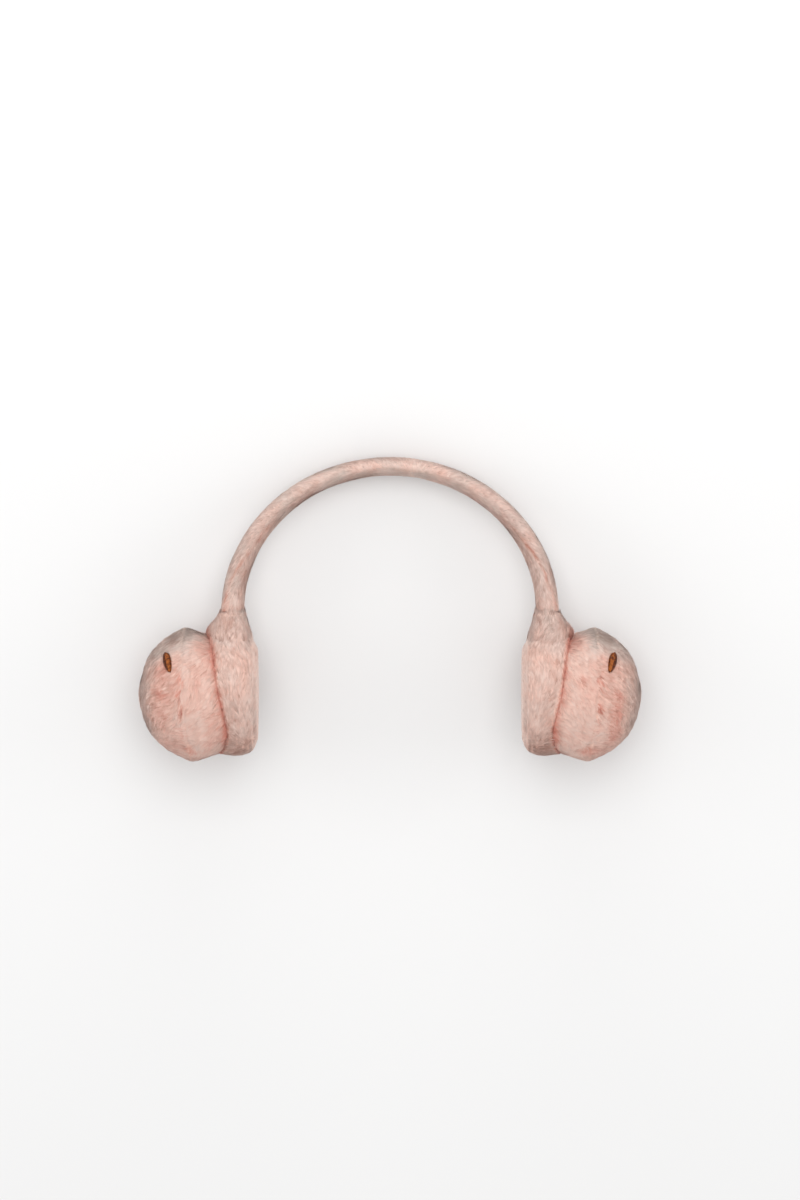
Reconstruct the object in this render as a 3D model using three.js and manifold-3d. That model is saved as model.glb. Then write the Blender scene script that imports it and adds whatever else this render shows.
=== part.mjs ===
// Fur earmuffs: a sprung headband in a fur sleeve, and at each end a flat-faced ear pad that carries a
// stuffed fur puff on its outer side, with a small embroidered almond on the puff. Units are millimetres.
// The pieces are modelled upright: the headband's arch is in the XZ plane, the front is -Y, and each cup (an
// ear pad with its puff) has a frame of its own, with the origin at the middle of its ear face and +X away
// from the head. The whole is then laid on its back, on the two puffs and the crown, as it rests by itself.
import * as THREE from "three";
import { mergeVertices } from "three/addons/utils/BufferGeometryUtils.js";
import Module from "manifold-3d";

// Fit on the head
const EAR_GAP = 170; // clear width between the two ear faces
const JOIN_GAP = 0.3; // between pieces that touch

// Headband
const ARCH_RISE = 94; // from the headband's ends up to its centre line at the crown
const BAND_CROWN_THICKNESS = 12.6;
const BAND_END_THICKNESS = 15.8;
const BAND_CROWN_WIDTH = 27; // front to back
const BAND_END_WIDTH = 24;
const TONGUE_THICKNESS = 8; // the slim end that goes down inside the ear pad's neck
const TONGUE_WIDTH = 14;
const TONGUE_LENGTH = 12;

// Ear pad
const PAD_RADIUS = 40.3;
const PAD_THICKNESS = 25; // from the ear face to the crease, on average
const EAR_FACE_RADIUS = 29.5; // the flat part of the ear face
const CREASE_RADIUS = 38; // where the pad and the puff are sewn together
const NECK_HEIGHT = 12.3; // of the gathered neck above the pad's rim
const NECK_SETBACK = 16.5; // from the ear face out to the middle of the neck
const NECK_THICKNESS = 16.8; // along X at the neck's top
const NECK_WIDTH = 25; // front to back at the neck's top

// Puff
const PUFF_RADIUS = 44.5; // at the seam ridge
const SIDE_PANEL_WIDTH = 20; // from the crease to the seam ridge, on average
const DOME_DEPTH = 31.6; // from the seam ridge to the outermost point

// Fur locks: their tips lie on the outer form, and the partings between them lie below it
const PUFF_LOCK_DEPTH = 2.2;
const PAD_LOCK_DEPTH = 1.8;
const BAND_LOCK_DEPTH = 1.3;
const NECK_LOCK_DEPTH = 1;
const LOCK_LEAN = 0.8; // how far a tip leans along the fur's lie, as a share of the lock's depth

// Embroidered almond
const MOTIF_LENGTH = 16.6;
const MOTIF_WIDTH = 5.8;
const MOTIF_THICKNESS = 1.6;
const MOTIF_ANGLE = 58.3; // degrees round the puff, from the top towards the front
const MOTIF_ACROSS = 0.32; // share of the way from the seam ridge to the dome's outermost point
const MOTIF_TURN = 29; // degrees that its upper end leans away from the head
const MOTIF_MARGIN = 2; // of flattened fur round it

// How finely the faceted solids are cut
const CUP_SEGMENTS = 72;
const NECK_SEGMENTS = 24;
const BAND_SEGMENTS = 16;
const BAND_RINGS = 76;
const MOTIF_RINGS = 9;
const MOTIF_SIDES = 6;
const LAY_DOWN_STEPS = 24;

// Colours from the photograph
const PUFF_PINK = 0xe3b9aa;
const PAD_PINK = 0xdcbcae;
const THREAD_BROWN = 0x8a4a1c;

// Where the crease and the seam ridge run, by the angle from the top. crease is a share of PAD_THICKNESS out
// from the ear face, and ridge a share of SIDE_PANEL_WIDTH out from the crease. Front and back are alike.
const CREASE_AND_RIDGE = [
  { angle: 0, crease: 1.316, ridge: 0.675 },
  { angle: 45, crease: 1.16, ridge: 0.95 },
  { angle: 90, crease: 0.992, ridge: 1.16 },
  { angle: 128, crease: 0.772, ridge: 1.285 },
  { angle: 150, crease: 0.824, ridge: 1.145 },
  { angle: 180, crease: 1.008, ridge: 0.835 },
];

// The ear pad's rim, from the flat face to its fullest ring, and from there to the crease. across is a share
// of the way from the ear face to the crease, and swell a share of the way from that end's radius to
// PAD_RADIUS.
const PAD_FACE_SIDE = [
  { across: 0, swell: 0 },
  { across: 0.03, swell: 0.36 },
  { across: 0.12, swell: 0.7 },
  { across: 0.27, swell: 0.91 },
  { across: 0.48, swell: 1 },
];
const PAD_CREASE_SIDE = [
  { across: 0.7, swell: 0.96 },
  { across: 0.88, swell: 0.6 },
  { across: 1, swell: 0 },
];

// The puff's side panel. across goes from the crease to the ridge, and swell from CREASE_RADIUS to
// PUFF_RADIUS.
const SIDE_PANEL = [
  { across: 0, swell: 0 },
  { across: 0.2, swell: 0.3 },
  { across: 0.45, swell: 0.58 },
  { across: 0.72, swell: 0.82 },
];

// The puff's dome. across goes from the ridge to the outermost point, and radius is a share of PUFF_RADIUS.
const DOME = [
  { across: 0, radius: 1 },
  { across: 0.13, radius: 0.962 },
  { across: 0.3, radius: 0.898 },
  { across: 0.47, radius: 0.825 },
  { across: 0.62, radius: 0.733 },
  { across: 0.745, radius: 0.64 },
  { across: 0.85, radius: 0.522 },
  { across: 0.925, radius: 0.385 },
  { across: 0.972, radius: 0.225 },
];

// The neck's sections, from inside the pad's rim up to its top. up is a share of the way from the pad's axis
// to the neck's top, headward and outward are shares of NECK_THICKNESS to each side of the neck's middle, and
// width is a share of NECK_WIDTH.
const NECK_SECTIONS = [
  { up: 0.48, headward: 0.74, outward: 0.72, width: 1.62 },
  { up: 0.64, headward: 0.8, outward: 0.86, width: 1.72 },
  { up: 0.75, headward: 0.76, outward: 0.95, width: 1.6 },
  { up: 0.83, headward: 0.67, outward: 0.87, width: 1.42 },
  { up: 0.91, headward: 0.58, outward: 0.7, width: 1.2 },
  { up: 1, headward: 0.5, outward: 0.5, width: 1 },
];
const NECK_ROUNDNESS = 0.75; // 1 is an oval section, and less is boxier

// The almond's outline, from the tail's tip at 0 along its length to the blunt tip at 1: half its width there
// is a share of MOTIF_WIDTH / 2
const MOTIF_BULGE = 0.62; // how blunt its tips are, where 0.5 is an oval
const MOTIF_UPPER_WEIGHT = 0.3; // how much wider the upper half is than the lower

const neckTop = PAD_RADIUS + NECK_HEIGHT;
const neckX = EAR_GAP / 2 + NECK_SETBACK;
const domeTop = PAD_THICKNESS + JOIN_GAP + SIDE_PANEL_WIDTH + DOME_DEPTH;
const DOWN = new THREE.Vector3(0, 0, -1);

const wasm = await Module();
wasm.setup();

const puffFur = new THREE.MeshStandardMaterial({ color: PUFF_PINK, roughness: 0.95, metalness: 0 });
const padFur = new THREE.MeshStandardMaterial({ color: PAD_PINK, roughness: 0.95, metalness: 0 });
const bandFur = padFur.clone();
const thread = new THREE.MeshStandardMaterial({ color: THREAD_BROWN, roughness: 0.6, metalness: 0 });

// A smooth curve through one column of a table, by another column
function curveThrough(rows, by, column) {
  const stations = rows.map((row) => row[by]);
  const values = rows.map((row) => row[column]);
  const curve = new THREE.CubicInterpolant(stations, values, 1);
  return (station) => curve.evaluate(station)[0];
}

const creaseShare = curveThrough(CREASE_AND_RIDGE, "angle", "crease");
const ridgeShare = curveThrough(CREASE_AND_RIDGE, "angle", "ridge");
const domeRadius = curveThrough(DOME, "across", "radius");

// Angle from the top, from 0 to 180 degrees, of a place that lies `turn` degrees round the cup
function fromTop(turn) {
  return Math.min(turn, 360 - turn);
}

const creaseX = (turn) => creaseShare(fromTop(turn)) * PAD_THICKNESS;
const ridgeX = (turn) => creaseX(turn) + JOIN_GAP + ridgeShare(fromTop(turn)) * SIDE_PANEL_WIDTH;

// A point of a cup at x and radius, `turn` degrees round from the top towards the front
function cupPoint(x, radius, turn) {
  const angle = THREE.MathUtils.degToRad(turn);
  return new THREE.Vector3(x, -radius * Math.sin(angle), radius * Math.cos(angle));
}

// One ring of a cup, with its x at each turn from xAt
function cupRing(xAt, radius) {
  return Array.from({ length: CUP_SEGMENTS }, (_, i) => {
    const turn = (360 * i) / CUP_SEGMENTS;
    return cupPoint(xAt(turn), radius, turn);
  });
}

// A repeatable number from 0 to 1 for lock number i of ring k
function tangle(k, i) {
  const wave = Math.sin(k * 127.1 + i * 311.7) * 43758.5453;
  return wave - Math.floor(wave);
}

// In a combed surface, every other point is a lock's tip and the points between are partings
const isTip = (k, i) => (k + i) % 2 === 0;

// Combs locks into rings of points that lie on the outer form. Tips stay near that form and lean along the
// fur's lie, and partings sink by the depth that depthAt gives. The fur lies downwards, and also towards the
// next ring by `onward` times as much.
function combLocks(rings, depthAt, onward) {
  return rings.map((ring, k) =>
    ring.map((point, i) => {
      const before = rings[Math.max(k - 1, 0)][i];
      const after = rings[Math.min(k + 1, rings.length - 1)][i];
      const along = after.clone().sub(before).normalize();
      const round = ring[(i + 1) % ring.length].clone().sub(ring[(i + ring.length - 1) % ring.length]);
      const out = round.cross(along).normalize();
      const depth = depthAt(k, point);
      if (!isTip(k, i)) {
        return point.clone().addScaledVector(out, -depth * (0.7 + 0.3 * tangle(k, i)));
      }
      const lie = DOWN.clone().addScaledVector(along, onward);
      lie.addScaledVector(out, -lie.dot(out)).clampLength(0, 1);
      const sunk = point.clone().addScaledVector(out, -depth * 0.3 * tangle(k, i));
      return sunk.addScaledVector(lie, depth * LOCK_LEAN);
    }),
  );
}

// Rings of points and an end point at each end, as one closed geometry that faces out. Each cell between two
// rings is cut along the diagonal that joins its partings, so that every lock's tip stands on its own.
function closedLoft(rings, firstEnd, lastEnd) {
  const size = rings[0].length;
  const points = [firstEnd, ...rings.flat(), lastEnd];
  const last = points.length - 1;
  const faces = [];
  for (let i = 0; i < size; i++) {
    const next = (i + 1) % size;
    faces.push(0, 1 + next, 1 + i);
    faces.push(last, last - size + i, last - size + next);
    for (let k = 0; k + 1 < rings.length; k++) {
      const a = 1 + k * size + i;
      const b = 1 + k * size + next;
      const c = b + size;
      const d = a + size;
      if (isTip(k, i)) {
        faces.push(a, b, d, b, c, d);
      } else {
        faces.push(a, b, c, a, c, d);
      }
    }
  }
  const geometry = new THREE.BufferGeometry();
  const numbers = points.flatMap((point) => point.toArray());
  geometry.setAttribute("position", new THREE.Float32BufferAttribute(numbers, 3));
  geometry.setIndex(faces);
  return geometry;
}

// Turns a closed geometry into a manifold-3d solid
function solidOf(geometry) {
  const merged = mergeVertices(geometry, 1e-4);
  const vertProperties = new Float32Array(merged.attributes.position.array);
  const triVerts = new Uint32Array(merged.index.array);
  return new wasm.Manifold(new wasm.Mesh({ numProp: 3, vertProperties, triVerts }));
}

// Turns a manifold-3d solid back into a geometry
function geometryOf(solid) {
  const mesh = solid.getMesh();
  const geometry = new THREE.BufferGeometry();
  geometry.setAttribute("position", new THREE.Float32BufferAttribute(mesh.vertProperties, 3));
  geometry.setIndex([...mesh.triVerts]);
  return geometry;
}

// The same geometry for the other side of the head
function mirrored(geometry) {
  const copy = geometry.clone().scale(-1, 1, 1);
  const corners = copy.index.array;
  for (let i = 0; i < corners.length; i += 3) {
    [corners[i + 1], corners[i + 2]] = [corners[i + 2], corners[i + 1]];
  }
  return copy;
}

// An oval section of the headband or its tongue. `out` points away from the head.
function ovalRing(centre, out, thickness, width) {
  return Array.from({ length: BAND_SEGMENTS }, (_, i) => {
    const angle = (2 * Math.PI * i) / BAND_SEGMENTS;
    const point = centre.clone().addScaledVector(out, (thickness / 2) * Math.cos(angle));
    point.y += (width / 2) * Math.sin(angle);
    return point;
  });
}

// The fur sleeve's rings along the arch, from the right end over the crown to the left end
function sleeveRings() {
  const arch = new THREE.EllipseCurve(0, neckTop + JOIN_GAP, neckX, ARCH_RISE, 0, Math.PI);
  return Array.from({ length: BAND_RINGS + 1 }, (_, k) => {
    const share = k / BAND_RINGS;
    const point = arch.getPointAt(share);
    const tangent = arch.getTangentAt(share);
    const out = new THREE.Vector3(tangent.y, 0, -tangent.x);
    const crown = Math.sin(Math.PI * share);
    const thickness = THREE.MathUtils.lerp(BAND_END_THICKNESS, BAND_CROWN_THICKNESS, crown);
    const width = THREE.MathUtils.lerp(BAND_END_WIDTH, BAND_CROWN_WIDTH, crown);
    return ovalRing(new THREE.Vector3(point.x, 0, point.y), out, thickness, width);
  });
}

// The tongue's two rings at x, from its foot up to its shoulder. clearance widens it into the socket's shape.
function tongueRings(x, clearance) {
  const out = new THREE.Vector3(Math.sign(x), 0, 0);
  return [neckTop - TONGUE_LENGTH - clearance, neckTop + JOIN_GAP].map((z) => {
    const centre = new THREE.Vector3(x, 0, z);
    return ovalRing(centre, out, TONGUE_THICKNESS + 2 * clearance, TONGUE_WIDTH + 2 * clearance);
  });
}

function headband() {
  const depthAt = (k) => (k === 0 || k === BAND_RINGS ? 0 : BAND_LOCK_DEPTH);
  const sleeve = combLocks(sleeveRings(), depthAt, 0);
  const rings = [...tongueRings(neckX, 0), ...sleeve, ...tongueRings(-neckX, 0).reverse()];
  const foot = neckTop - TONGUE_LENGTH;
  return closedLoft(rings, new THREE.Vector3(neckX, 0, foot), new THREE.Vector3(-neckX, 0, foot));
}

// The round fur disc of the ear pad, whose flat face stays plain
function padDisc() {
  const rows = [
    ...PAD_FACE_SIDE.map((row) => ({ ...row, from: EAR_FACE_RADIUS })),
    ...PAD_CREASE_SIDE.map((row) => ({ ...row, from: CREASE_RADIUS })),
  ];
  const rings = rows.map(({ across, swell, from }) => {
    const radius = THREE.MathUtils.lerp(from, PAD_RADIUS, swell);
    return cupRing((turn) => across * creaseX(turn), radius);
  });
  const depthAt = (k) => (k === 0 || k === rings.length - 1 ? 0 : PAD_LOCK_DEPTH);
  const creaseFace = new THREE.Vector3(PAD_THICKNESS, 0, 0);
  return closedLoft(combLocks(rings, depthAt, 0), new THREE.Vector3(0, 0, 0), creaseFace);
}

// The gathered neck that rises from the disc to the headband
function padNeck() {
  const rings = NECK_SECTIONS.map(({ up, headward, outward, width }) =>
    Array.from({ length: NECK_SEGMENTS }, (_, i) => {
      const angle = (2 * Math.PI * i) / NECK_SEGMENTS;
      const sideways = Math.sign(Math.cos(angle)) * Math.abs(Math.cos(angle)) ** NECK_ROUNDNESS;
      const deep = Math.sign(Math.sin(angle)) * Math.abs(Math.sin(angle)) ** NECK_ROUNDNESS;
      const x = NECK_SETBACK + (sideways > 0 ? outward : headward) * NECK_THICKNESS * sideways;
      return new THREE.Vector3(x, (deep * width * NECK_WIDTH) / 2, up * neckTop);
    }),
  );
  const depthAt = (k) => (k === 0 || k === rings.length - 1 ? 0 : NECK_LOCK_DEPTH);
  const foot = new THREE.Vector3(NECK_SETBACK, 0, NECK_SECTIONS[0].up * neckTop);
  return closedLoft(combLocks(rings, depthAt, 0), foot, new THREE.Vector3(NECK_SETBACK, 0, neckTop));
}

// The hole in the neck that the headband's tongue goes down into
function socket() {
  const rings = tongueRings(NECK_SETBACK, JOIN_GAP);
  const ends = rings.map((ring) => new THREE.Vector3(NECK_SETBACK, 0, ring[0].z));
  return closedLoft(rings, ends[0], ends[1]);
}

function earPad() {
  return geometryOf(solidOf(padDisc()).add(solidOf(padNeck())).subtract(solidOf(socket())));
}

// A point of the dome's outer form, `across` of the way from the ridge to the outermost point
function domePoint(across, turn) {
  const x = THREE.MathUtils.lerp(ridgeX(turn), domeTop, across);
  return cupPoint(x, domeRadius(across) * PUFF_RADIUS, turn);
}

function puff() {
  const side = SIDE_PANEL.map(({ across, swell }) => {
    const radius = THREE.MathUtils.lerp(CREASE_RADIUS, PUFF_RADIUS, swell);
    return cupRing((turn) => THREE.MathUtils.lerp(creaseX(turn) + JOIN_GAP, ridgeX(turn), across), radius);
  });
  const dome = DOME.map(({ across, radius }) =>
    cupRing((turn) => THREE.MathUtils.lerp(ridgeX(turn), domeTop, across), radius * PUFF_RADIUS),
  );
  const motifMiddle = domePoint(MOTIF_ACROSS, MOTIF_ANGLE);
  const flattened = MOTIF_LENGTH / 2 + MOTIF_MARGIN;
  const isFlat = (k, point) => k === 0 || point.distanceTo(motifMiddle) < flattened;
  const depthAt = (k, point) => (isFlat(k, point) ? 0 : PUFF_LOCK_DEPTH);
  const creaseFace = new THREE.Vector3(PAD_THICKNESS + JOIN_GAP, 0, 0);
  return closedLoft(combLocks([...side, ...dome], depthAt, 1), creaseFace, new THREE.Vector3(domeTop, 0, 0));
}

// The almond: a thin lens of thread in a frame of its own, X across it, Y up it and Z out of the fur
function almond() {
  const rings = [];
  for (let k = 1; k < MOTIF_RINGS; k++) {
    const share = k / MOTIF_RINGS;
    const bulge = (4 * share * (1 - share)) ** MOTIF_BULGE * (1 + MOTIF_UPPER_WEIGHT * (share - 0.5));
    const ring = Array.from({ length: MOTIF_SIDES + 1 }, (_, i) => {
      const angle = (Math.PI * i) / MOTIF_SIDES;
      const x = (-Math.cos(angle) * bulge * MOTIF_WIDTH) / 2;
      return new THREE.Vector3(x, (share - 0.5) * MOTIF_LENGTH, Math.sin(angle) * bulge * MOTIF_THICKNESS);
    });
    rings.push(ring);
  }
  const tip = new THREE.Vector3(0, MOTIF_LENGTH / 2, 0);
  return closedLoft(rings, tip.clone().negate(), tip);
}

// Where the almond's frame lies on the cup, tangent to the dome and JOIN_GAP above it
function almondSeat() {
  const middle = domePoint(MOTIF_ACROSS, MOTIF_ANGLE);
  const onward = domePoint(MOTIF_ACROSS + 0.01, MOTIF_ANGLE).sub(middle);
  const round = domePoint(MOTIF_ACROSS, MOTIF_ANGLE + 1).sub(middle);
  const out = round.cross(onward).normalize();
  const up = new THREE.Vector3(Math.tan(THREE.MathUtils.degToRad(MOTIF_TURN)), 0, 1);
  up.addScaledVector(out, -up.dot(out)).normalize();
  const across = up.clone().cross(out);
  return new THREE.Matrix4().makeBasis(across, up, out).setPosition(middle.addScaledVector(out, JOIN_GAP));
}

function namedMesh(name, geometry, material) {
  const mesh = new THREE.Mesh(geometry, material);
  mesh.name = name;
  return mesh;
}

// One cup: the ear pad, its puff and the puff's almond
function cup(sideName, side) {
  const pieces = [
    ["ear_pad", earPad(), padFur],
    ["puff", puff(), puffFur],
    ["embroidered_almond", almond().applyMatrix4(almondSeat()), thread],
  ];
  const group = new THREE.Group();
  for (const [name, geometry, material] of pieces) {
    group.add(namedMesh(`${sideName}_${name}`, side > 0 ? geometry : mirrored(geometry), material));
  }
  group.position.x = (side * EAR_GAP) / 2;
  return group;
}

// Lowest point of an object in the frame of the whole
function lowestPoint(object) {
  return new THREE.Box3().setFromObject(object, true).min.z;
}

// Turns the whole about X until the crown and the puffs touch the same floor, and puts that floor at Z = 0
// under the middle of the whole
function layOnItsBack(whole, crown, cups) {
  let less = 0;
  let more = Math.PI / 4;
  for (let step = 0; step < LAY_DOWN_STEPS; step++) {
    const tilt = (less + more) / 2;
    whole.rotation.x = -Math.PI / 2 - tilt;
    whole.updateMatrixWorld(true);
    if (lowestPoint(crown) > lowestPoint(cups)) {
      less = tilt;
    } else {
      more = tilt;
    }
  }
  const box = new THREE.Box3().setFromObject(whole, true);
  const middle = box.getCenter(new THREE.Vector3());
  whole.position.set(-middle.x, -middle.y, -box.min.z);
}

const band = namedMesh("headband", headband(), bandFur);
const cups = new THREE.Group();
cups.add(cup("left", -1), cup("right", 1));
const earmuffs = new THREE.Group();
earmuffs.add(band, cups);
layOnItsBack(earmuffs, band, cups);

export default earmuffs;
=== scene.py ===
"""Fur earmuffs, dressed for the camera: a cover and a combed pile of fur on every soft piece, and satin
stitch on the two almonds. Forms are worked out in millimetres in an upright frame: X runs from ear to ear,
the front is -Y, and Z goes up to the crown, with the origin midway between the ear faces. The CAD lies on
its back in the row frame. A cup is an ear pad with its puff. In a cup's frame X runs out from its ear face,
and Y and Z are the upright ones."""

import math
from dataclasses import dataclass
from typing import Callable

import bpy
import numpy as np
from mathutils import Matrix, Vector
from mathutils.bvhtree import BVHTree
from mathutils.kdtree import KDTree


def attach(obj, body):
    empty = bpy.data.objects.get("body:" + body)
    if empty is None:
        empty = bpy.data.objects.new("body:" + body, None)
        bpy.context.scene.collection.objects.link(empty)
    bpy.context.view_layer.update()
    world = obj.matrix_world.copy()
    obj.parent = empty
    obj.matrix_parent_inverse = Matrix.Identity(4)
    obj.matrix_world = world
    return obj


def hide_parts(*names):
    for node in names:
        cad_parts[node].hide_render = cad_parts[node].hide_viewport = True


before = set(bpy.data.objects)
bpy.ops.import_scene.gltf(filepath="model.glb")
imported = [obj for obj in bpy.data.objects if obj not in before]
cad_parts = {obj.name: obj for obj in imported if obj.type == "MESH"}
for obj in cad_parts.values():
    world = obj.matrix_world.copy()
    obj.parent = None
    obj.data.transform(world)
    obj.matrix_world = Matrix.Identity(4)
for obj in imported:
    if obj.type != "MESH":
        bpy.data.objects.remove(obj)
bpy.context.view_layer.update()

MM = 0.001
TINY = 1e-9  # keeps a division from failing
SAME = 0.01  # places that are nearer than this lie together
SEED = 7
BODY = "root"
SIDES = (("left", -1), ("right", 1))

# The photograph's frame and where the object is in it, in pixels
PHOTO_WIDTH, PHOTO_HEIGHT = 800, 1200
OBJECT_LEFT, OBJECT_RIGHT = 139, 641
OBJECT_TOP = 457
CAMERA_DISTANCE = 5000.0
SENSOR_WIDTH = 36.0
FARTHEST_SEEN = 20  # metres

# Smooth forms, with the CAD's combed locks averaged away over the turn that they repeat in
FORM_VOXEL = 1.4
CUP_LOCK_PERIOD = 10.0  # degrees round the cup's axle
BAND_LOCK_PERIOD = 4.7  # degrees round the arch's centre
PERIOD_SAMPLES = 4
STRAY_LIMIT = 3.0  # how far a sample may lie from the point that it is averaged into
RELAX_ROUNDS = 1
SEAT_LIMIT = 0.8  # a tip that is further than this from its own form may lie on the neighbour

# Crease and seam ridge, found in slices round a cup's axle
SLICE_TURN = 10  # degrees
RIM_SHARE = 0.8  # of the puff's radius, beyond which both lie

# Strands of fur. A spread is for normally drawn numbers, and a pair is for evenly drawn ones.
SWIRL_WAVELENGTH, SWIRL_TURN = 30, 0.3  # slow and quick wander of the fur's lie, in radians
CURL_WAVELENGTH, CURL_TURN = 10, 0.14
TUFT_TURN_SPREAD, STRAND_TURN_SPREAD = 0.13, 0.09
TUFT_LENGTH_SPREAD = 0.1  # as a share of the pile's length
STRAND_LENGTHS = 0.8, 1.12
SHORTEST = 0.8
STRAND_RISES = 0.5, 1.2  # as shares of the pile's rise
ROOT_DEPTHS = 0.25, 0.6
HALF_WIDTHS = 0.35, 0.62  # as shares of the pile's width
LEAST_WIDTH_SHARE = 0.4  # of a strand that is cut to nothing
MOST_TURN = 0.35  # radians that the surface may turn along a strand before the strand is cut shorter
LEAST_CUT = 0.4  # the smallest share of its length that this leaves
SHORTENINGS = 0.0, 0.25, 0.5, 0.75, 1.0
CLUMP_REACH = 2.6  # a strand is drawn to its tuft's tip if that is this near
DRAWN_SHARES = 0.15, 0.55
TUFT_LIFT = 0.08  # how much higher some tufts are
TUFT_LIFT_LIMITS = -1, 2
TUFT_TONE_SPREAD, STRAND_TONE_SPREAD = 0.04, 0.025
TUFT_SHADE, STRAND_SHADE_SPREAD = 0.28, 0.12  # how much paler some tufts and strands are
TONE_LIMITS = 0.02, 0.98
LIGHT_SCALE = 0.5
LIGHT_LIMITS = -0.6, 0.3
FORM_SHADING = 0.7  # share of a strand's shading that follows the form, and not the strand itself
TONE_WIDTH = 0.0012  # of a strand on its map, so that a bake finds pixels in it
# A strand's root sits lower than its tip on the lights ramp: the darker roots are painted shade in the depths
# of the pile
ROOT_ALONG, TIP_ALONG = 0.42, 0.72
ROOT_LIGHT, TIP_LIGHT = 0.7, 1.0  # how far light shifts a strand's ends along its map
ALONG_LIMITS = 0.01, 0.99

# Height of the fur and of the cover under it
COVER_DEPTH = 0.15
ALMOND_DEPTH = 0.6  # how much deeper the cover is beside the almond, where no longer strands reach over it
CREASE_REACH, CREASE_LIFT = 2.2, 0.9
LOW_CREASE_CUT = 0.6  # share of the lift that is left out at the bottom of the crease
LOW_CREASE = 25, 38  # how far below the axle that sets in
TOP_LIFT = 1.0
TOP_NOTCH = 22, 36  # how far above the axle the top lift sets in
EAR_FACE_SINK = 0.8
JOINT_REACH, JOINT_LIFT = 3.0, 0.35  # the swell where the headband goes into the necks

# Where fur grows, and where it is short
SEWN_FACE_RADIUS = 35.0  # no fur grows on the faces of a pad and its puff that are sewn together
SEWN_FACING = 0.5
EAR_FACE_FACING, EAR_FACE_DEPTH = (0.4, 0.95), (1.2, 3.5)  # where the ear face sets in, and where it ends
NECK_TOP_FACING, NECK_TOP_DEPTH = 0.97, 2  # none grows on a neck's flat top, under the headband
TONGUE_FACING, TONGUE_HEIGHT = -0.8, 3  # nor on the headband's end that goes down into it
CREASE_LENGTH_SHARE = 0.45
EAR_FACE_CUT = 0.35

# Embroidered almonds
STITCH_ROWS = 42
STITCH_RADIUS = 0.2
STITCH_SLANT = 1.1
STITCH_SIDES = 5
STITCH_STATIONS = 6
STITCH_SINK = 2.2
STITCH_RADII = 0.9, 1.1
STITCH_JITTER = 0.05
FIRST_STITCH, LAST_STITCH = 0.2, 0.7  # distances from the almond's ends
GROOVE_DEPTH, GROOVE_SHARE = 0.25, 0.2  # the groove along the middle line, where stitches meet
CORE_INSET = 0.3
CORE_LEAST_HALF = 0.02
CORE_STATIONS = 15
CORE_CORNERS = 9
CORE_DYE = -0.5
DYE, OUTER_DYE, DYE_SLOPE, DYE_SPREAD = -0.27, -0.15, -0.012, 0.11
FUR_CLEARANCE = -0.2  # fur reaches this far over the almond's edge


def rng_for(name):
    """A random generator of its own for each piece, so that changing one leaves the others as they are."""
    return np.random.default_rng([SEED, *name.encode()])


def unit(vectors):
    return vectors / np.maximum(np.linalg.norm(vectors, axis=-1, keepdims=True), TINY)


def dots(a, b):
    return (a * b).sum(-1, keepdims=True)


def tangent(vectors, normals):
    """The part of each vector that lies along the surface."""
    return vectors - dots(vectors, normals) * normals


def bell(values, width):
    """1 where the values are 0, fading to nothing past about twice the width."""
    return np.exp(-((values / width) ** 2))


def ramp(values, start, end):
    """0 up to start and 1 from end, in a smooth step."""
    share = np.clip((values - start) / (end - start), 0, 1)
    return share * share * (3 - 2 * share)


def numbers_of(items, name, width, kind=np.float32):
    found = np.empty(len(items) * width, kind)
    items.foreach_get(name, found)
    return found.reshape(-1, width)


def node_points(name):
    """A CAD node's vertices in the row frame, in millimetres."""
    return numbers_of(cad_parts[name].data.vertices, "co", 3).astype(float) / MM


# The upright frame
def upright_axes():
    """Rows are the upright frame's X, Y and Z in the row frame. The arch is flat, so its thinnest spread is
    Y."""
    thinnest = np.linalg.eigh(np.cov(node_points("headband").T))[1][:, 0]
    front = unit(thinnest * np.sign(thinnest[2]) * (0, 1, 1))
    side = np.array([1.0, 0.0, 0.0])
    return np.stack([side, -front, np.cross(side, -front)])


def ear_face():
    """Middle of the right ear pad's flat face, in the row frame."""
    points = node_points("right_ear_pad")
    return points[points[:, 0] < points[:, 0].min() + SAME].mean(0)


AXES = upright_axes()
EAR_X = ear_face()[0]
ORIGIN = ear_face() * (0, 1, 1)


def to_upright(points):
    return (points - ORIGIN) @ AXES.T


def to_row(points):
    return (points @ AXES + ORIGIN) * MM


def to_cup(points, side):
    return points * (side, 1, 1) - (EAR_X, 0, 0)


BAND_REACH = to_upright(node_points("headband"))
SPRING_Z = to_upright(node_points("right_ear_pad"))[:, 2].max()
CROWN_SLICE = 3.0  # half the width of the slice that shows how thick the crown is
BAND_THICKNESS = np.ptp(BAND_REACH[np.abs(BAND_REACH[:, 0]) < CROWN_SLICE][:, 2])
ARCH_HALF = BAND_REACH[:, 0].max() - BAND_THICKNESS / 2
ARCH_RISE = BAND_REACH[:, 2].max() - BAND_THICKNESS / 2 - SPRING_Z
X_AXIS, Y_AXIS = (1, 0, 0), (0, 1, 0)


def triangles_of(mesh):
    mesh.calc_loop_triangles()
    return numbers_of(mesh.loop_triangles, "vertices", 3, np.int32)


def relaxed(points, faces, rounds):
    """Each point moved halfway to the mean of its neighbours, this many times."""
    ends = np.concatenate([faces[:, (0, 1)], faces[:, (1, 2)], faces[:, (2, 0)]])
    ends = np.concatenate([ends, ends[:, ::-1]])
    count = np.bincount(ends[:, 0])[:, None]
    for _ in range(rounds):
        total = np.stack([np.bincount(ends[:, 0], points[ends[:, 1], k]) for k in range(3)], 1)
        points = (points + total / count) / 2
    return points


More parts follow.
